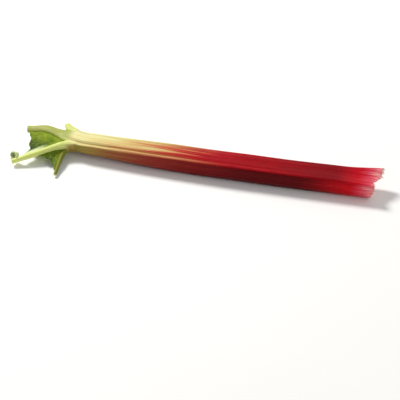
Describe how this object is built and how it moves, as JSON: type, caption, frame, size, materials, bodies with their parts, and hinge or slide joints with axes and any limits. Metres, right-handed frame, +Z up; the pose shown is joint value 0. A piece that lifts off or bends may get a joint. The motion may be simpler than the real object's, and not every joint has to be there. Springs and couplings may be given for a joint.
{
  "type": "rhubarb stalk",
  "caption": "Trimmed rhubarb stalk lying on its ribbed back: red petiole fading to yellow-green, forked leaf veins with scraps of leaf, torn foot",
  "frame": {"origin": "on the surface the stalk lies on, under the middle of its bounding box", "axes": "+X along the stalk towards its torn foot, +Y across it towards the far margin, +Z up out of its flat face"},
  "size_m": [0.3532, 0.0744, 0.0214],
  "materials": {
    "stalk_skin": "moist waxy skin, ribbed, red fading to yellow-green at the fork",
    "leaf_blade": "thin soft green leaf"
  },
  "bodies": {
    "root": {"stalk": "stalk_skin", "leaf_scrap_upper": "leaf_blade", "leaf_scrap_lower": "leaf_blade", "leaf_scrap_rolled": "leaf_blade"}
  },
  "joints": []
}
